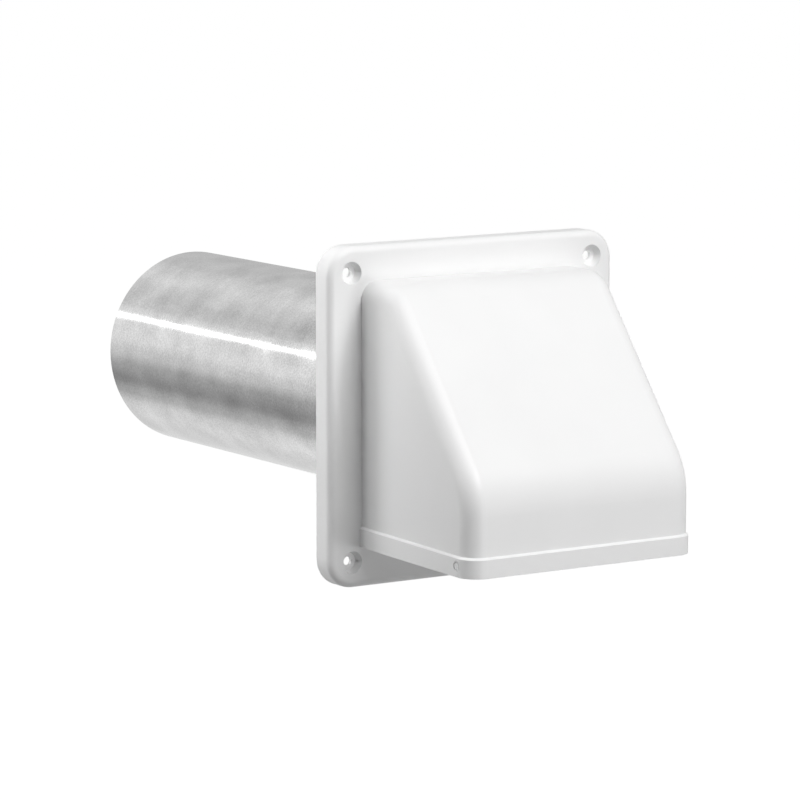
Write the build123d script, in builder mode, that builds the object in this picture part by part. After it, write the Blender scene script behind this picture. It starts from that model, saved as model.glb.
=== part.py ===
"""Hooded wall vent: moulded hood with a 4 in aluminium tail pipe, a backdraft flap and a mouth guard.

Frame: the origin is on the pipe axis in the wall plane. X points right seen from outdoors, Y points into
the wall along the pipe, Z points up. All sizes are in millimetres.
"""
import math
import os

from build123d import *

os.makedirs("parts", exist_ok=True)

# Flange: a square plate with a skirt that stands its face off the wall
FLANGE_SIZE = 165.1
FLANGE_CORNER_R = 14.0
FLANGE_DEPTH = 12.0
FLANGE_EDGE_R = 3.5
FLANGE_WALL = 2.5
FACE_Y = -FLANGE_DEPTH
SKIRT_INSIDE = FLANGE_SIZE - 2 * FLANGE_WALL

# Screw holes, counterbored from the front, with a cup moulded behind each
SCREW_PITCH = 139.7
SCREW_HOLE_R = 2.25
COUNTERBORE_TOP_R = 5.5
COUNTERBORE_FLOOR_R = 4.2
COUNTERBORE_DEPTH = 4.2
CUP_WALL = 2.0
CUP_FLOOR = 2.2
CUP_BACK_Y = FACE_Y + COUNTERBORE_DEPTH + CUP_FLOOR

# Hood shell, as the outside of its profile in the YZ plane, with a mouth that falls towards the front
HOOD_WIDTH = 128.8
HOOD_TOP_Z = 65.7
HOOD_BOTTOM_Z = -64.5
HOOD_FRONT_Y = -105.2
HOOD_SHOULDER_Y = -34.3
HOOD_BREAK_Z = -23.0
SHOULDER_BEND_R = 18.0
FRONT_BEND_R = 35.7
HOOD_EDGE_R = 9.0
HOOD_WALL = 2.2
MOUTH_TILT = 1.1
HOOD_HALF = HOOD_WIDTH / 2
HOOD_INNER_HALF = HOOD_HALF - HOOD_WALL
HOOD_INNER_FRONT_Y = HOOD_FRONT_Y + HOOD_WALL
SLOPE_ANGLE = math.atan2(HOOD_TOP_Z - HOOD_BREAK_Z, HOOD_SHOULDER_Y - HOOD_FRONT_Y)

# Rim: a bevelled step round the mouth
RIM_PROUD = 1.1
RIM_HEIGHT = 9.85
RIM_BEVEL = 1.0
RIM_HALF = HOOD_HALF + RIM_PROUD
RIM_FRONT_Y = HOOD_FRONT_Y - RIM_PROUD
MOUTH_RISE = math.tan(math.radians(MOUTH_TILT))
MOUTH_BACK_Z = HOOD_BOTTOM_Z + MOUTH_RISE * (FACE_Y - RIM_FRONT_Y)

# Tail pipe: rolled sheet with a stop bead, closed with a flat lock seam folded to the inside
PIPE_R = 50.8
PIPE_WALL = 0.5
PIPE_LENGTH = 279.4
PIPE_FRONT_Y = -19.4
PIPE_BACK_Y = PIPE_FRONT_Y + PIPE_LENGTH
PIPE_BORE_R = PIPE_R - PIPE_WALL
SEAM_WIDTH = 8.0
SEAM_DEPTH = 1.0
SEAM_BITE = 0.2
SEAM_ANGLE = -30.0
BEAD_HEIGHT = 1.25
BEAD_FOOT_WIDTH = 4.0
BEAD_CREST_WIDTH = 1.6
BEAD_GAP = 0.2

# Socket that holds the pipe, with the damper seat closing its front
SOCKET_CLEARANCE = 0.1
SOCKET_WALL = 2.5
SOCKET_BACK_Y = -6.0
SOCKET_BORE_R = PIPE_R + SOCKET_CLEARANCE
SOCKET_R = SOCKET_BORE_R + SOCKET_WALL
SEAT_THICK = 2.5
SEAT_OPENING_R = 48.8
SEAT_HEADER_Z = 36.0
SEAT_FRONT_Y = PIPE_FRONT_Y - SEAT_THICK
BEAD_Y = SOCKET_BACK_Y + BEAD_GAP + BEAD_FOOT_WIDTH / 2

# Damper flap, hung from the seat on two pegs
HINGE_CLEARANCE = 0.08
FLAP_GAP = 0.4
FLAP_THICK = 1.8
FLAP_R = 51.3
FLAP_SHOULDER_Z = 39.0
FLAP_TAB_HALF = 22.0
FLAP_RIB_R = 46.0
FLAP_RIB_WIDTH = 1.6
FLAP_RIB_HEIGHT = 1.4
FLAP_RIB_TOP_Z = 33.0
FLAP_BARREL_R = 2.2
FLAP_BARREL_GAP = 0.5
FLAP_PEG_R = 1.6
FLAP_PEG_PROUD = 0.7
FLAP_BACK_Y = SEAT_FRONT_Y - FLAP_GAP
FLAP_FRONT_Y = FLAP_BACK_Y - FLAP_THICK
FLAP_HINGE_Y = SEAT_FRONT_Y - FLAP_BARREL_GAP - FLAP_BARREL_R
FLAP_HINGE_Z = 43.5
EAR_R = 3.4
EAR_GAP = 0.5
EAR_THICK = 3.0
EAR_ROOT = 0.5
EAR_INNER_X = FLAP_TAB_HALF + EAR_GAP
EAR_OUTER_X = EAR_INNER_X + EAR_THICK

# Guard in the mouth, on two pegs whose ends show in the rim
GUARD_SIDE_GAP = 1.3
GUARD_BACK_GAP = 1.5
GUARD_FRONT_GAP = 2.0
GUARD_LIFT = 0.5
GUARD_HEIGHT = 6.0
GUARD_CORNER_R = 5.5
GUARD_FRAME_WIDTH = 2.4
GUARD_BAR_WIDTH = 1.8
GUARD_BAR_HEIGHT = 4.0
GUARD_LONG_BARS = 9
GUARD_CROSS_BARS = 2
GUARD_PEG_R = 1.7
GUARD_PEG_SUNK = 0.15
GUARD_HINGE_Y = -95.5
GUARD_HINGE_Z = -59.0
PEG_RECESS_R = 2.2
PEG_RECESS_DEPTH = 1.1
GUARD_HALF = HOOD_INNER_HALF - GUARD_SIDE_GAP
GUARD_BACK_Y = FACE_Y - GUARD_BACK_GAP
GUARD_FRONT_Y = HOOD_INNER_FRONT_Y + GUARD_FRONT_GAP
GUARD_BOTTOM_Z = MOUTH_BACK_Z + GUARD_LIFT
GUARD_LONG = GUARD_BACK_Y - GUARD_FRONT_Y
GUARD_MID_Y = (GUARD_BACK_Y + GUARD_FRONT_Y) / 2

CUT_PAST = 1.0


def across(y):
    """Plane across the pipe axis at y, facing forward, with Z up on it."""
    return Plane(origin=(0, y, 0), x_dir=(1, 0, 0), z_dir=(0, -1, 0))


def mouth_z(y):
    """Height of the mouth's edge at y."""
    return HOOD_BOTTOM_Z + MOUTH_RISE * (y - RIM_FRONT_Y)


def hood_block(inset, drop):
    """Solid inside the hood's outer faces moved in by inset, run drop past the mouth, long edges rounded."""
    shoulder_shift = inset * math.tan(SLOPE_ANGLE / 2)
    break_shift = inset * math.tan(math.pi / 4 - SLOPE_ANGLE / 2)
    top = HOOD_TOP_Z - inset
    front = HOOD_FRONT_Y + inset
    shoulder = (HOOD_SHOULDER_Y + shoulder_shift, top)
    brow = (front, HOOD_BREAK_Z - break_shift)
    with BuildPart() as block:
        with BuildSketch(Plane.YZ) as side:
            with BuildLine():
                back_foot = (FACE_Y, mouth_z(FACE_Y) - drop)
                front_foot = (front, mouth_z(front) - drop)
                Polyline(back_foot, (FACE_Y, top), shoulder, brow, front_foot, close=True)
            make_face()
            fillet(side.vertices().sort_by_distance((*shoulder, 0))[0], SHOULDER_BEND_R - inset)
            fillet(side.vertices().sort_by_distance((*brow, 0))[0], FRONT_BEND_R - inset)
        extrude(amount=HOOD_HALF - inset, both=True)
        flanks = block.faces().filter_by(Axis.X).edges()
        long_edges = flanks.filter_by(lambda e: e.center().Z > back_foot[1] + CUT_PAST / 2)
        long_edges = long_edges.filter_by(lambda e: e.center().Y < FACE_Y - CUT_PAST / 2)
        fillet(long_edges, HOOD_EDGE_R - inset)
    return block.part


def bead_profile(radius):
    """Corners of the stop bead, half in section, where it swells from a wall at radius."""
    foot_r = radius - PIPE_WALL / 2
    crest_r = radius + BEAD_HEIGHT
    return [
        (foot_r, BEAD_Y - BEAD_FOOT_WIDTH / 2),
        (crest_r, BEAD_Y - BEAD_CREST_WIDTH / 2),
        (crest_r, BEAD_Y + BEAD_CREST_WIDTH / 2),
        (foot_r, BEAD_Y + BEAD_FOOT_WIDTH / 2),
    ]


hood_outside = hood_block(0, 0)
hood_inside = hood_block(HOOD_WALL, CUT_PAST)
mouth_plane = Plane(
    origin=(0, RIM_FRONT_Y, HOOD_BOTTOM_Z), x_dir=(1, 0, 0), z_dir=(0, -MOUTH_RISE, 1)
)
rim_long = (FACE_Y + FLANGE_WALL / 2 - RIM_FRONT_Y) / math.cos(math.radians(MOUTH_TILT))

with BuildPart() as hood:
    # Flange with a rounded front edge, hollow behind its plate
    with BuildSketch(across(0)):
        RectangleRounded(FLANGE_SIZE, FLANGE_SIZE, FLANGE_CORNER_R)
    extrude(amount=FLANGE_DEPTH)
    fillet(hood.edges().group_by(Axis.Y)[0], FLANGE_EDGE_R)
    with BuildSketch(across(0)):
        RectangleRounded(SKIRT_INSIDE, SKIRT_INSIDE, FLANGE_CORNER_R - FLANGE_WALL)
    extrude(amount=FLANGE_DEPTH - FLANGE_WALL, mode=Mode.SUBTRACT)
    # Rim block, bevelled along its upper edge, with its back end in the flange plate
    with BuildSketch(mouth_plane) as mouth:
        Rectangle(2 * RIM_HALF, rim_long, align=(Align.CENTER, Align.MIN))
        fillet(mouth.vertices().group_by(Axis.Y)[0], HOOD_EDGE_R + RIM_PROUD)
    extrude(amount=RIM_HEIGHT, dir=(0, 0, 1))
    rim_top = hood.faces().sort_by_distance((0, GUARD_MID_Y, mouth_z(GUARD_MID_Y) + RIM_HEIGHT))[0]
    chamfer(rim_top.edges().filter_by(lambda e: e.center().Y < FACE_Y - CUT_PAST), RIM_BEVEL)
    # Hood shell
    add(hood_outside)
    add(hood_inside, mode=Mode.SUBTRACT)
    # Pipe socket with the damper seat at its front
    with BuildSketch(across(SOCKET_BACK_Y)):
        Circle(SOCKET_R)
    extrude(amount=SOCKET_BACK_Y - SEAT_FRONT_Y)
    with BuildSketch(across(SOCKET_BACK_Y)):
        Circle(SOCKET_BORE_R)
    extrude(amount=SOCKET_BACK_Y - PIPE_FRONT_Y, mode=Mode.SUBTRACT)
    with BuildSketch(across(PIPE_FRONT_Y)):
        Circle(SEAT_OPENING_R)
        with Locations((0, SEAT_HEADER_Z)):
            Rectangle(2 * SOCKET_R, SOCKET_R, align=(Align.CENTER, Align.MIN), mode=Mode.SUBTRACT)
    extrude(amount=SEAT_THICK, mode=Mode.SUBTRACT)
    # Hinge ears for the flap
    for ear_x in (-EAR_OUTER_X, EAR_INNER_X):
        with BuildSketch(Plane.YZ.offset(ear_x)):
            with Locations((FLAP_HINGE_Y, FLAP_HINGE_Z)):
                Circle(EAR_R)
                ear_reach = SEAT_FRONT_Y + EAR_ROOT - FLAP_HINGE_Y
                Rectangle(ear_reach, 2 * EAR_R, align=(Align.MIN, Align.CENTER))
                Circle(FLAP_PEG_R + HINGE_CLEARANCE, mode=Mode.SUBTRACT)
        extrude(amount=EAR_THICK)
    # Screw holes: cup behind, tapered counterbore in front, clearance hole through
    for screw_x in (-SCREW_PITCH / 2, SCREW_PITCH / 2):
        for screw_z in (-SCREW_PITCH / 2, SCREW_PITCH / 2):
            with BuildSketch(across(CUP_BACK_Y)):
                with Locations((screw_x, screw_z)):
                    Circle(COUNTERBORE_TOP_R + CUP_WALL)
            extrude(amount=CUP_BACK_Y - FACE_Y - FLANGE_WALL / 2)
            with BuildSketch(across(FACE_Y)):
                with Locations((screw_x, screw_z)):
                    Circle(COUNTERBORE_TOP_R)
            with BuildSketch(across(FACE_Y + COUNTERBORE_DEPTH)):
                with Locations((screw_x, screw_z)):
                    Circle(COUNTERBORE_FLOOR_R)
            loft(mode=Mode.SUBTRACT)
            with BuildSketch(across(CUP_BACK_Y)):
                with Locations((screw_x, screw_z)):
                    Circle(SCREW_HOLE_R)
            extrude(amount=CUP_FLOOR, mode=Mode.SUBTRACT)
    # Peg holes in the rim, recessed on the outside
    for side in (-1, 1):
        peg_plane = Plane(
            origin=(side * RIM_HALF, GUARD_HINGE_Y, GUARD_HINGE_Z), x_dir=(0, 1, 0), z_dir=(-side, 0, 0)
        )
        with BuildSketch(peg_plane):
            Circle(PEG_RECESS_R)
        extrude(amount=PEG_RECESS_DEPTH, mode=Mode.SUBTRACT)
        with BuildSketch(peg_plane):
            Circle(GUARD_PEG_R + HINGE_CLEARANCE)
        extrude(amount=RIM_HALF - GUARD_HALF, mode=Mode.SUBTRACT)
hood.part.label = "hood"
export_step(hood.part, "parts/hood.step")

with BuildPart() as tail_pipe:
    # Sheet wall with a rolled bead that stops the pipe at the back of the socket
    with BuildSketch(across(PIPE_BACK_Y)):
        Circle(PIPE_R)
    extrude(amount=PIPE_LENGTH)
    with BuildSketch(Plane.XY):
        Polygon(*bead_profile(PIPE_R), align=None)
    revolve(axis=Axis.Y)
    with BuildSketch(across(PIPE_BACK_Y)):
        Circle(PIPE_BORE_R)
    extrude(amount=PIPE_LENGTH, mode=Mode.SUBTRACT)
    with BuildSketch(Plane.XY):
        Polygon(*bead_profile(PIPE_BORE_R), align=None)
    revolve(axis=Axis.Y, mode=Mode.SUBTRACT)
    # Lock seam
    with BuildSketch(across(PIPE_BACK_Y)):
        with PolarLocations(PIPE_BORE_R + SEAM_BITE, 1, start_angle=SEAM_ANGLE):
            Rectangle(SEAM_DEPTH + SEAM_BITE, SEAM_WIDTH, align=(Align.MAX, Align.CENTER))
    extrude(amount=PIPE_LENGTH)
tail_pipe.part.label = "tail_pipe"
export_step(tail_pipe.part, "parts/tail_pipe.step")

with BuildPart() as damper_flap:
    # Disc with its top cut off below the ears, and a tab up to the hinge
    with BuildSketch(across(FLAP_BACK_Y)):
        Circle(FLAP_R)
        with Locations((0, FLAP_SHOULDER_Z)):
            Rectangle(2 * FLAP_R, FLAP_R, align=(Align.CENTER, Align.MIN), mode=Mode.SUBTRACT)
        with Locations((0, FLAP_HINGE_Z)):
            Rectangle(2 * FLAP_TAB_HALF, FLAP_HINGE_Z - FLAP_RIB_TOP_Z, align=(Align.CENTER, Align.MAX))
    extrude(amount=FLAP_THICK)
    # Stiffening rib round the front, closed by a straight rib under the hinge
    with BuildSketch(across(FLAP_FRONT_Y)) as rib:
        Circle(FLAP_RIB_R)
        Circle(FLAP_RIB_R - FLAP_RIB_WIDTH, mode=Mode.SUBTRACT)
        rib_half = math.sqrt(FLAP_RIB_R**2 - FLAP_RIB_TOP_Z**2)
        with Locations((0, FLAP_RIB_TOP_Z)):
            Rectangle(2 * rib_half, FLAP_RIB_WIDTH, align=(Align.CENTER, Align.MAX))
            Rectangle(2 * FLAP_R, FLAP_R, align=(Align.CENTER, Align.MIN), mode=Mode.SUBTRACT)
    extrude(amount=FLAP_RIB_HEIGHT)
    # Hinge barrel and pegs
    with BuildSketch(Plane.YZ):
        with Locations((FLAP_HINGE_Y, FLAP_HINGE_Z)):
            Circle(FLAP_BARREL_R)
    extrude(amount=FLAP_TAB_HALF, both=True)
    with BuildSketch(Plane.YZ):
        with Locations((FLAP_HINGE_Y, FLAP_HINGE_Z)):
            Circle(FLAP_PEG_R)
    extrude(amount=EAR_OUTER_X + FLAP_PEG_PROUD, both=True)
damper_flap.part.label = "damper_flap"
export_step(damper_flap.part, "parts/damper_flap.step")

with BuildPart() as guard:
    # Frame
    with BuildSketch(Plane.XY.offset(GUARD_BOTTOM_Z)):
        with Locations((0, GUARD_MID_Y)):
            RectangleRounded(2 * GUARD_HALF, GUARD_LONG, GUARD_CORNER_R)
            RectangleRounded(
                2 * (GUARD_HALF - GUARD_FRAME_WIDTH),
                GUARD_LONG - 2 * GUARD_FRAME_WIDTH,
                GUARD_CORNER_R - GUARD_FRAME_WIDTH,
                mode=Mode.SUBTRACT,
            )
    extrude(amount=GUARD_HEIGHT)
    # Bars, evenly spaced between the frame's sides
    with BuildSketch(Plane.XY.offset(GUARD_BOTTOM_Z)):
        with Locations((0, GUARD_MID_Y)):
            with GridLocations(2 * GUARD_HALF / (GUARD_LONG_BARS + 1), 0, GUARD_LONG_BARS, 1):
                Rectangle(GUARD_BAR_WIDTH, GUARD_LONG - GUARD_FRAME_WIDTH)
            with GridLocations(0, GUARD_LONG / (GUARD_CROSS_BARS + 1), 1, GUARD_CROSS_BARS):
                Rectangle(2 * GUARD_HALF - GUARD_FRAME_WIDTH, GUARD_BAR_WIDTH)
    extrude(amount=GUARD_BAR_HEIGHT)
    # Pegs
    for side in (-1, 1):
        peg_root = Plane(
            origin=(side * (GUARD_HALF - GUARD_FRAME_WIDTH / 2), GUARD_HINGE_Y, GUARD_HINGE_Z),
            x_dir=(0, 1, 0),
            z_dir=(side, 0, 0),
        )
        with BuildSketch(peg_root):
            Circle(GUARD_PEG_R)
        extrude(amount=RIM_HALF - GUARD_PEG_SUNK - GUARD_HALF + GUARD_FRAME_WIDTH / 2)
guard.part.label = "guard"
export_step(guard.part, "parts/guard.step")
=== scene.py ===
# %% [markdown]
# # Hooded wall vent: finishes, studio and camera
#
# The object is a vent hood that closes a duct on an outside wall. A white moulded hood is screwed
# to the wall by a square flange, an aluminium pipe runs from it into the wall, a flap hangs over
# the pipe and a guard lies in the mouth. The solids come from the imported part, so this lesson
# dresses them: it gives every surface a finish, sets up a small studio, and places a camera.

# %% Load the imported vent
import math

import bpy
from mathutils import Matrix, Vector


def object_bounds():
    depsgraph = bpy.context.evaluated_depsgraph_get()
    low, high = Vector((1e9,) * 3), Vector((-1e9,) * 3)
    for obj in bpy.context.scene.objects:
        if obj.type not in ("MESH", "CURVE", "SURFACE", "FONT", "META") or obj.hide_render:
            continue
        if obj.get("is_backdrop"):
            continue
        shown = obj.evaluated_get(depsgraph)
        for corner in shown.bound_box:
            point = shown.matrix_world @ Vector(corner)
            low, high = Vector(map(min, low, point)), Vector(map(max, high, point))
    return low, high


MM_PER_M = 1000

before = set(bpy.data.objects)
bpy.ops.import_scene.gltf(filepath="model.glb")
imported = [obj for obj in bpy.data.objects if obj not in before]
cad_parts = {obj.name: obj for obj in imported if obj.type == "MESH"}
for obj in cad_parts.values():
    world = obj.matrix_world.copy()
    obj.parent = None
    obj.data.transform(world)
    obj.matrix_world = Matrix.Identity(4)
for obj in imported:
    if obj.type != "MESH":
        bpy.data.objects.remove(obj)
cad_low, cad_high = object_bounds()
bpy.ops.object.select_all(action="DESELECT")
vent_scene = bpy.context.scene
vent_size = [round(MM_PER_M * (high - low), 1) for low, high in zip(cad_low, cad_high)]
print("nodes:", sorted(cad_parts))
print("vent size in mm:", vent_size)

# %% [markdown]
# ## Camera
#
# The vent is seen from the left of its front, a little from above, from about two metres away
# with a long lens. A long lens keeps the flange's edges nearly parallel, as a catalogue picture
# has them. The camera could be aimed with a tracking constraint, but two angles and a distance
# are easier to read and to change: the camera stands on a sphere round a point near the middle of
# the vent and looks at that point.

# %% Place the camera
VIEW_AZIMUTH = math.radians(-32.846)
VIEW_ELEVATION = math.radians(8.297)
VIEW_DISTANCE = 2.0743
VIEW_CENTRE = Vector((-0.02440, 0.01609, 0.00195))
VIEW_REACH = 100
LENS_MM = 190.9
SENSOR_MM = 36.0


def on_sphere(centre, azimuth, elevation, distance):
    """A point round centre, at an azimuth from straight in front of the hood and an elevation."""
    across = math.cos(elevation)
    direction = Vector((
        math.sin(azimuth) * across,
        -math.cos(azimuth) * across,
        math.sin(elevation),
    ))
    return centre + distance * direction


bpy.ops.object.camera_add(
    location=on_sphere(VIEW_CENTRE, VIEW_AZIMUTH, VIEW_ELEVATION, VIEW_DISTANCE),
    rotation=(math.pi / 2 - VIEW_ELEVATION, 0, VIEW_AZIMUTH),
)
view_camera = bpy.context.active_object
view_camera.name = "view_camera"
view_camera.data.sensor_width = SENSOR_MM
view_camera.data.lens = LENS_MM
view_camera.data.clip_end = VIEW_REACH
vent_scene.camera = view_camera
print("camera at", [round(x, 3) for x in view_camera.location])

# %% [markdown]
# ## Studio floor
#
# The vent hangs over a pale floor, as it would hang on a wall, so its shadow lies well below it.
# The floor is a plain matt sheet. A glow for camera and mirror rays lifts it to white. Under the
# vent the glow is weaker, so the shadow there stays, and it grows with the distance, so the floor
# runs into the white behind it with no edge. A curved backdrop would hide the edge too, but it
# would stand in the way of the lamps behind the vent.

# %% Helpers for materials
def new_material(name):
    """An empty node material, with its node tree and its output."""
    material = bpy.data.materials.new(name)
    material.use_nodes = True
    tree = material.node_tree
    tree.nodes.clear()
    return material, tree, tree.nodes.new("ShaderNodeOutputMaterial")


def own_place(tree):
    """The object's own coordinates."""
    return tree.nodes.new("ShaderNodeTexCoord").outputs["Object"]


def grey(level):
    """A plain grey as a colour."""
    return (level, level, level, 1)


print("white is", grey(1))

# %% Helpers for node maths
def maths(tree, operation, *operands):
    """The result of one Math node. Each operand is a socket or a plain number."""
    node = tree.nodes.new("ShaderNodeMath")
    node.operation = operation
    for operand, socket in zip(operands, node.inputs):
        if isinstance(operand, bpy.types.NodeSocket):
            tree.links.new(operand, socket)
        else:
            socket.default_value = operand
    return node.outputs[0]


def remap(tree, value, old_range, new_range, curve="LINEAR"):
    """A value taken from one range to another."""
    node = tree.nodes.new("ShaderNodeMapRange")
    node.interpolation_type = curve
    node.inputs["From Min"].default_value, node.inputs["From Max"].default_value = old_range
    node.inputs["To Min"].default_value, node.inputs["To Max"].default_value = new_range
    tree.links.new(value, node.inputs["Value"])
    return node.outputs["Result"]


def seen_rays(tree):
    """1 for rays from the camera, off a mirror or through glass, and 0 for the rest."""
    path = tree.nodes.new("ShaderNodeLightPath").outputs
    seen = maths(tree, "MAXIMUM", path["Is Camera Ray"], path["Is Glossy Ray"])
    return maths(tree, "MAXIMUM", seen, path["Is Transmission Ray"])


print("maths helpers ready")

# %% Lay the floor
FLOOR_DROP = 0.50
FLOOR_SIZE = 40.0
FLOOR_GREY = 0.45
GLOW_DISTANCES = (0.35, 0.90)
GLOW_STRENGTHS = (0.78, 1.0)

bpy.ops.mesh.primitive_plane_add(size=FLOOR_SIZE, location=(0, 0, -FLOOR_DROP))
studio_floor = bpy.context.active_object
studio_floor.name = "studio_floor"
floor_paint, tree, output = new_material("floor_paint")
flat_place = tree.nodes.new("ShaderNodeVectorMath")
flat_place.operation = "MULTIPLY"
flat_place.inputs[1].default_value = (1, 1, 0)
tree.links.new(own_place(tree), flat_place.inputs[0])
how_far = tree.nodes.new("ShaderNodeVectorMath")
how_far.operation = "LENGTH"
tree.links.new(flat_place.outputs[0], how_far.inputs[0])
growth = remap(tree, how_far.outputs["Value"], GLOW_DISTANCES, GLOW_STRENGTHS, "SMOOTHSTEP")
matt = tree.nodes.new("ShaderNodeBsdfDiffuse")
matt.inputs["Color"].default_value = grey(FLOOR_GREY)
glow = tree.nodes.new("ShaderNodeEmission")
tree.links.new(maths(tree, "MULTIPLY", seen_rays(tree), growth), glow.inputs["Strength"])
both = tree.nodes.new("ShaderNodeAddShader")
tree.links.new(matt.outputs[0], both.inputs[0])
tree.links.new(glow.outputs[0], both.inputs[1])
tree.links.new(both.outputs[0], output.inputs["Surface"])
studio_floor.data.materials.append(floor_paint)
studio_floor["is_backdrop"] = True
print("floor", FLOOR_DROP, "m below the pipe's axis")

# %% [markdown]
# ## White surroundings
#
# Behind the floor there is only the world. Rays from the camera and off polished metal see it
# white. It sends no light to matt surfaces, because light from all sides would flatten them: the
# lamps alone shape the hood.

# %% Colour the world
studio_world = bpy.data.worlds.new("studio_world")
vent_scene.world = studio_world
studio_world.use_nodes = True
world_tree = studio_world.node_tree
backdrop = world_tree.nodes["Background"]
backdrop.inputs["Color"].default_value = grey(1)
world_tree.links.new(seen_rays(world_tree), backdrop.inputs["Strength"])
vent_scene.view_settings.view_transform = "Standard"
print("world has", len(world_tree.nodes), "nodes")

# %% [markdown]
# ## Lamps
#
# White plastic shows its form only by small steps of grey, so every lamp here has one job. The
# key and the high box hang in front, a little to the right, and make the slope the brightest face
# while the flange beside the flank falls into their soft shadow. The top box lifts the roof and
# the flange's corner, and the low box reaches the flange under the mouth, where the others can't.
# Three small boxes close to the left rear light the flank and the edge of the flange, and leave
# the upright corner between flank and front darker than both, which is what makes it read as
# round. A picture of a studio could light the whole vent at once, but single lamps can be changed
# one by one. The three rear boxes are kept out of mirror rays, because the pipe would show them
# as white patches.

# %% Hang the soft boxes
LAMP_CENTRE = Vector((0, -0.04, 0))
FRONT_BOXES = {
    "key_box": dict(azimuth=10, elevation=40, distance=1.2, side=0.45, watts=6.6),
    "high_box": dict(azimuth=20, elevation=50, distance=1.2, side=0.45, watts=3.5),
    "top_box": dict(azimuth=330, elevation=60, distance=1.2, side=0.4, watts=2.6),
    "low_box": dict(azimuth=15, elevation=-5, distance=2.0, side=0.4, watts=6.6),
}
REAR_BOXES = {
    "side_box": dict(azimuth=255, elevation=10, distance=0.6, side=0.25, watts=0.7),
    "flank_box": dict(azimuth=240, elevation=50, distance=0.6, side=0.25, watts=0.88),
    "back_box": dict(azimuth=225, elevation=10, distance=0.6, side=0.25, watts=1.4),
}


def soft_box(name, azimuth, elevation, distance, side, watts):
    """A square lamp on a sphere round the vent, facing its middle."""
    place = on_sphere(LAMP_CENTRE, math.radians(azimuth), math.radians(elevation), distance)
    turn = (LAMP_CENTRE - place).to_track_quat("-Z", "Y").to_euler()
    bpy.ops.object.light_add(type="AREA", location=place, rotation=turn)
    lamp = bpy.context.active_object
    lamp.name = name
    lamp.data.shape = "SQUARE"
    lamp.data.size = side
    lamp.data.energy = watts
    lamp.visible_camera = False
    print(name, "at", [round(x, 2) for x in place], watts, "W")
    return lamp


for name, box in FRONT_BOXES.items():
    soft_box(name, **box)
for name, box in REAR_BOXES.items():
    soft_box(name, **box).visible_glossy = False

# %% [markdown]
# ## Moulded plastic
#
# The hood, flap and guard are injection moulded in white plastic with a satin skin. Up close such
# a skin is never one flat colour: the mould's etched grain scatters the gloss, and the wall
# shrinks a little unevenly as it cools. A picture of plastic could be wrapped round the hood, but
# the same look comes from noise in the object's own coordinates, with no seams. It is a node
# group, because three materials share it.

# %% Helpers for noise and colours
NOISE_RANGE = (0.3, 0.7)


def new_group(name, inputs, outputs):
    """A shader node group with sockets given as (name, kind, value) and (name, kind)."""
    group = bpy.data.node_groups.new(name, "ShaderNodeTree")
    for label, kind, value in inputs:
        socket = group.interface.new_socket(label, in_out="INPUT", socket_type=kind)
        socket.default_value = value
    for label, kind in outputs:
        group.interface.new_socket(label, in_out="OUTPUT", socket_type=kind)
    return group, group.nodes.new("NodeGroupInput"), group.nodes.new("NodeGroupOutput")


def noise(tree, vector, scale, detail):
    """Smooth noise read at a vector."""
    node = tree.nodes.new("ShaderNodeTexNoise")
    node.inputs["Scale"].default_value = scale
    node.inputs["Detail"].default_value = detail
    tree.links.new(vector, node.inputs["Vector"])
    return node.outputs["Fac"]


def spread(tree, value, new_range):
    """A noise value, which mostly stays in the middle, taken to the whole of a range."""
    return remap(tree, value, NOISE_RANGE, new_range)


def blend_colours(tree, amount, first, second):
    """A mix of two colours, each a socket or a plain colour."""
    node = tree.nodes.new("ShaderNodeMix")
    node.data_type = "RGBA"
    tree.links.new(amount, node.inputs["Factor"])
    colour_sockets = [socket for socket in node.inputs if socket.type == "RGBA"]
    for colour, socket in zip((first, second), colour_sockets):
        if isinstance(colour, bpy.types.NodeSocket):
            tree.links.new(colour, socket)
        else:
            socket.default_value = colour
    return next(socket for socket in node.outputs if socket.type == "RGBA")


print("noise is taken from", NOISE_RANGE)

# %% Build the moulded skin group
SHRINK_SCALE = 28
MOULD_GRAIN_SCALE = 2600
SKIN_DETAIL = 2
SKIN_ROUGHNESS = (0.40, 0.46)

moulded_skin, skin_in, skin_out = new_group(
    "moulded_skin",
    [
        ("Light Colour", "NodeSocketColor", grey(0.87)),
        ("Dark Colour", "NodeSocketColor", grey(0.85)),
    ],
    [
        ("Colour", "NodeSocketColor"),
        ("Roughness", "NodeSocketFloat"),
        ("Height", "NodeSocketFloat"),
    ],
)
skin_place = own_place(moulded_skin)
shrink = noise(moulded_skin, skin_place, SHRINK_SCALE, SKIN_DETAIL)
mould_grain = noise(moulded_skin, skin_place, MOULD_GRAIN_SCALE, SKIN_DETAIL)
skin_colour = blend_colours(
    moulded_skin,
    spread(moulded_skin, shrink, (0, 1)),
    skin_in.outputs["Dark Colour"],
    skin_in.outputs["Light Colour"],
)
skin_roughness = spread(moulded_skin, shrink, SKIN_ROUGHNESS)
moulded_skin.links.new(skin_colour, skin_out.inputs["Colour"])
moulded_skin.links.new(skin_roughness, skin_out.inputs["Roughness"])
moulded_skin.links.new(mould_grain, skin_out.inputs["Height"])
print("moulded_skin group has", len(moulded_skin.nodes), "nodes")

# %% Make the three plastics
PLASTIC_IOR = 1.49
MOULD_GRAIN_DEPTH = 0.00001
MOULD_GRAIN_STRENGTH = 0.5


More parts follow.
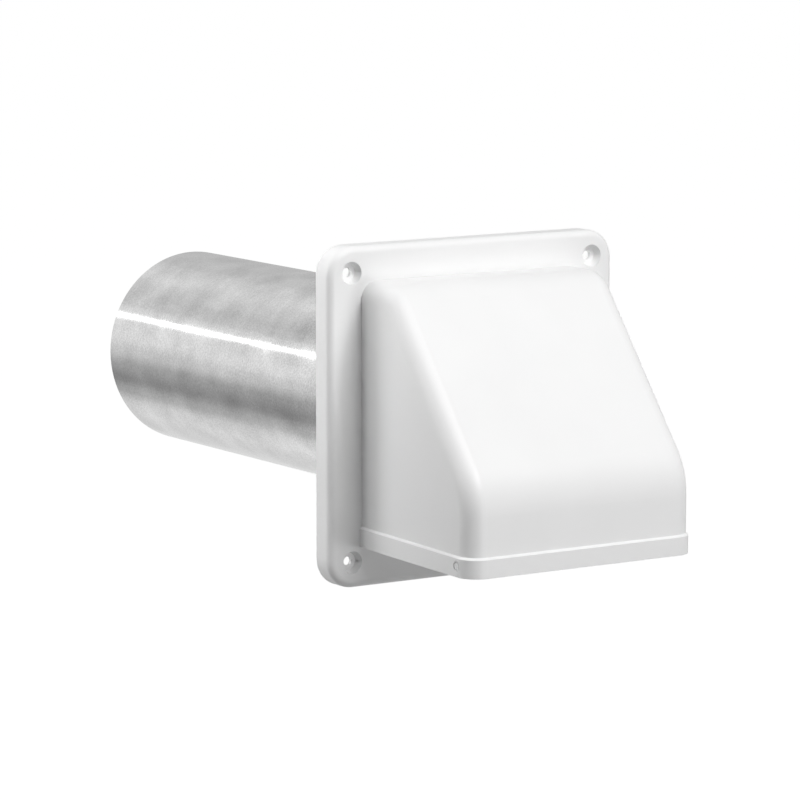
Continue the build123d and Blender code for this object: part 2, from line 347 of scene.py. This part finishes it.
def plastic(name, light, dark):
    """Satin moulded plastic between two near whites."""
    material, tree, output = new_material(name)
    shader = tree.nodes.new("ShaderNodeBsdfPrincipled")
    shader.inputs["IOR"].default_value = PLASTIC_IOR
    skin = tree.nodes.new("ShaderNodeGroup")
    skin.node_tree = moulded_skin
    skin.inputs["Light Colour"].default_value = grey(light)
    skin.inputs["Dark Colour"].default_value = grey(dark)
    bump = tree.nodes.new("ShaderNodeBump")
    bump.inputs["Strength"].default_value = MOULD_GRAIN_STRENGTH
    bump.inputs["Distance"].default_value = MOULD_GRAIN_DEPTH
    tree.links.new(skin.outputs["Colour"], shader.inputs["Base Color"])
    tree.links.new(skin.outputs["Roughness"], shader.inputs["Roughness"])
    tree.links.new(skin.outputs["Height"], bump.inputs["Height"])
    tree.links.new(bump.outputs["Normal"], shader.inputs["Normal"])
    tree.links.new(shader.outputs[0], output.inputs["Surface"])
    return material


finishes = {
    "hood": plastic("hood_white", light=0.872, dark=0.856),
    "damper_flap": plastic("flap_white", light=0.85, dark=0.82),
    "guard": plastic("guard_white", light=0.86, dark=0.84),
}
print("plastics:", sorted(finishes))

# %% [markdown]
# ## Mill aluminium
#
# The pipe is rolled from bare aluminium sheet. The rolls leave fine marks that run round the pipe
# and a dull grain, the metal has cloudy patches where it was handled, and the sheet is never
# quite flat, so long reflections waver. A picture of metal could be wrapped round it, but four
# noises are enough and show no seam. The marks are noise that changes fast along the pipe and
# slowly round it, which a Mapping node gives by stretching the coordinates.

# %% Make the sheet's four noises
MARKS_SCALE = (20, 1500, 20)
MARKS_DETAIL = 3
CLOUD_SCALE = (55, 45, 55)
CLOUD_DETAIL = 4
WAVE_SCALE = (22, 18, 22)
WAVE_DETAIL = 1
METAL_GRAIN_SCALE = 1100
METAL_GRAIN_DETAIL = 1

mill_aluminium, tree, output = new_material("mill_aluminium")
sheet_place = own_place(tree)


def stretched_noise(scale, detail):
    """Noise on the sheet, with its own scale along X, Y and Z."""
    mapping = tree.nodes.new("ShaderNodeMapping")
    mapping.inputs["Scale"].default_value = scale
    tree.links.new(sheet_place, mapping.inputs["Vector"])
    return noise(tree, mapping.outputs["Vector"], 1, detail)


marks = stretched_noise(MARKS_SCALE, MARKS_DETAIL)
patches = stretched_noise(CLOUD_SCALE, CLOUD_DETAIL)
waves = stretched_noise(WAVE_SCALE, WAVE_DETAIL)
metal_grain = noise(tree, sheet_place, METAL_GRAIN_SCALE, METAL_GRAIN_DETAIL)
print("sheet noises have", len(tree.nodes), "nodes")

# %% Join the noises to the metal
MARKS_SHARE = 0.25
METAL_GRAIN_SHARE = 0.80
TONE_RANGE = (0.65, 1.41)
DULL_METAL = grey(0.49)
BRIGHT_METAL = grey(0.85)
METAL_ROUGHNESS = (0.10, 0.17)
WAVE_SHARE = 4.0
RELIEF_DEPTH = 0.000015
RELIEF_STRENGTH = 1.0

tone = maths(tree, "MULTIPLY_ADD", marks, MARKS_SHARE, patches)
tone = maths(tree, "MULTIPLY_ADD", metal_grain, METAL_GRAIN_SHARE, tone)
tone = remap(tree, tone, TONE_RANGE, (0, 1))
metal_colour = blend_colours(tree, tone, DULL_METAL, BRIGHT_METAL)
relief = tree.nodes.new("ShaderNodeBump")
relief.inputs["Strength"].default_value = RELIEF_STRENGTH
relief.inputs["Distance"].default_value = RELIEF_DEPTH
tree.links.new(maths(tree, "MULTIPLY_ADD", waves, WAVE_SHARE, marks), relief.inputs["Height"])
metal = tree.nodes.new("ShaderNodeBsdfPrincipled")
metal.inputs["Metallic"].default_value = 1.0
tree.links.new(metal_colour, metal.inputs["Base Color"])
tree.links.new(spread(tree, patches, METAL_ROUGHNESS), metal.inputs["Roughness"])
tree.links.new(relief.outputs["Normal"], metal.inputs["Normal"])
tree.links.new(metal.outputs[0], output.inputs["Surface"])
finishes["tail_pipe"] = mill_aluminium
print("mill aluminium has", len(tree.nodes), "nodes")

# %% [markdown]
# ## Dressing the pieces
#
# Each piece of the real vent is made of one material, so each node gets one finish. Finishes
# could be given face by face in Edit Mode, but a list of node and finish is shorter and can't
# miss a face.

# %% Dress the nodes
for name, finish in finishes.items():
    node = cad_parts[name]
    node.data.materials.clear()
    node.data.materials.append(finish)
    print(name, "wears", finish.name)

# %% [markdown]
# ## Strip lamp and shade ring for the metal
#
# Bare metal shows its surroundings, so a pipe in a white room looks flat. Seen from one place, a
# straight pipe mirrors a ring of the room behind it, round its own axis. A narrow strip lamp on
# that ring draws one bright line along the pipe, and a wide ring of grey card in front of the
# lamp draws soft dark bands, with a gap that lets the lamp through. Neither is seen by the camera
# itself. The card could be cut into pieces, but one ring with a painted shade is easier to
# adjust.

# %% Hang the strip lamp
STRIP_Y = 1.3
STRIP_ANGLE = math.radians(147.8)
STRIP_R = 0.78
STRIP_LENGTH = 0.55
STRIP_WIDTH = 0.05
STRIP_WATTS = 0.24

bpy.ops.object.light_add(
    type="AREA",
    location=(STRIP_R * math.cos(STRIP_ANGLE), STRIP_Y, STRIP_R * math.sin(STRIP_ANGLE)),
    rotation=(-math.pi / 2, -STRIP_ANGLE, 0),
)
strip_lamp = bpy.context.active_object
strip_lamp.name = "strip_lamp"
strip_lamp.data.shape = "RECTANGLE"
strip_lamp.data.size = STRIP_LENGTH
strip_lamp.data.size_y = STRIP_WIDTH
strip_lamp.data.energy = STRIP_WATTS
strip_lamp.visible_camera = False
print("strip lamp at", [round(x, 2) for x in strip_lamp.location], STRIP_WATTS, "W")

# %% Cut the shade ring
RING_Y = 0.66
RING_INNER_R = 0.16
RING_OUTER_R = 1.40
RING_SIDES = 96
RING_GROWTH = RING_OUTER_R / RING_INNER_R

bpy.ops.object.select_all(action="DESELECT")
bpy.ops.mesh.primitive_circle_add(
    vertices=RING_SIDES,
    radius=RING_INNER_R,
    location=(0, RING_Y, 0),
    rotation=(math.pi / 2, 0, 0),
)
shade_ring = bpy.context.active_object
shade_ring.name = "shade_ring"
bpy.ops.object.transform_apply(location=True, rotation=True, scale=True)
bpy.ops.object.mode_set(mode="EDIT")
bpy.ops.mesh.select_all(action="SELECT")
bpy.ops.mesh.extrude_region_move()
bpy.ops.transform.resize(value=(RING_GROWTH, 1, RING_GROWTH), center_override=(0, RING_Y, 0))
bpy.ops.object.mode_set(mode="OBJECT")
shade_ring.visible_camera = False
shade_ring.visible_diffuse = False
shade_ring.visible_shadow = False
shade_ring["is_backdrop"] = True
print("shade ring has", len(shade_ring.data.polygons), "faces")

# %% Paint the shade ring
# Degrees round the pipe's axis, from +X towards +Z, and how much the card darkens there.
RING_SHADES = [
    (15, 0.45), (31, 0.42), (47, 0.36), (63, 0.31), (79, 0.16), (95, 0.10), (111, 0.20),
    (123, 0.26), (134, 0.20), (141, 0.0), (171, 0.0), (187, 0.23), (203, 0.54), (219, 0.67),
    (235, 0.47), (251, 0.20), (267, 0.17), (283, 0.25), (299, 0.26), (315, 0.22), (335, 0.16),
    (355, 0.32),
]
FULL_TURN = 360

ring_paint, tree, output = new_material("ring_paint")
parts = tree.nodes.new("ShaderNodeSeparateXYZ")
tree.links.new(own_place(tree), parts.inputs[0])
angle = maths(tree, "ARCTAN2", parts.outputs["Z"], parts.outputs["X"])
turns = maths(tree, "FRACT", maths(tree, "MULTIPLY", angle, 1 / (2 * math.pi)))
shades = tree.nodes.new("ShaderNodeValToRGB")
stops = shades.color_ramp.elements
shades.color_ramp.interpolation = "EASE"
while len(stops) < len(RING_SHADES):
    stops.new(0.5)
for stop, (degrees, shade) in zip(stops, RING_SHADES):
    stop.position = degrees / FULL_TURN
    stop.color = grey(shade)
tree.links.new(turns, shades.inputs["Fac"])
clear = tree.nodes.new("ShaderNodeBsdfTransparent")
black = tree.nodes.new("ShaderNodeEmission")
black.inputs["Strength"].default_value = 0.0
veil = tree.nodes.new("ShaderNodeMixShader")
tree.links.new(shades.outputs["Color"], veil.inputs["Fac"])
tree.links.new(clear.outputs[0], veil.inputs[1])
tree.links.new(black.outputs[0], veil.inputs[2])
tree.links.new(veil.outputs[0], output.inputs["Surface"])
shade_ring.data.materials.append(ring_paint)
print("shade ring has", len(RING_SHADES), "shades")

# %% [markdown]
#
# Finishes and lamps must not change the size of the vent. The box round the whole vent was kept
# right after loading and is measured again here. The two could be compared by eye in the
# viewport, but comparing the numbers is exact.

# %% Compare the sizes and finish
SAME_SIZE = 1e-6

seen_low, seen_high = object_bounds()
corners = zip([*cad_low, *cad_high], [*seen_low, *seen_high])
print("sizes agree:", all(abs(cad - seen) < SAME_SIZE for cad, seen in corners))
